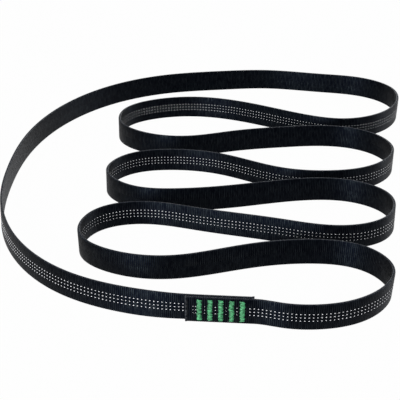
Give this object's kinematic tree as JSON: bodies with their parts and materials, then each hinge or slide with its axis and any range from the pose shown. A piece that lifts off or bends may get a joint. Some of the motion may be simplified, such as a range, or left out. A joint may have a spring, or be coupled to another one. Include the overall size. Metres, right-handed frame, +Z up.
{
  "type": "climbing sling",
  "caption": "Endless loop of flat black webbing, its lapped ends closed by green bartacks, standing on edge in a serpentine.",
  "frame": {"origin": "centre of the lay's outline, on the surface that the webbing stands on", "axes": "+Z up along the webbing's width; the lay is longest along Y, and the sewn lap is at its -Y side"},
  "size_m": [0.3202, 0.3698, 0.018],
  "materials": {
    "webbing": "tightly ribbed black nylon with rows of short white tracer floats on one face, slight sheen",
    "bartack_thread": "green sewing thread, satin"
  },
  "bodies": {
    "root": {"webbing": "webbing", "bartack_1_needle_thread": "bartack_thread", "bartack_1_bobbin_thread": "bartack_thread", "bartack_2_needle_thread": "bartack_thread", "bartack_2_bobbin_thread": "bartack_thread", "bartack_3_needle_thread": "bartack_thread", "bartack_3_bobbin_thread": "bartack_thread", "bartack_4_needle_thread": "bartack_thread", "bartack_4_bobbin_thread": "bartack_thread", "bartack_5_needle_thread": "bartack_thread", "bartack_5_bobbin_thread": "bartack_thread"}
  },
  "joints": []
}
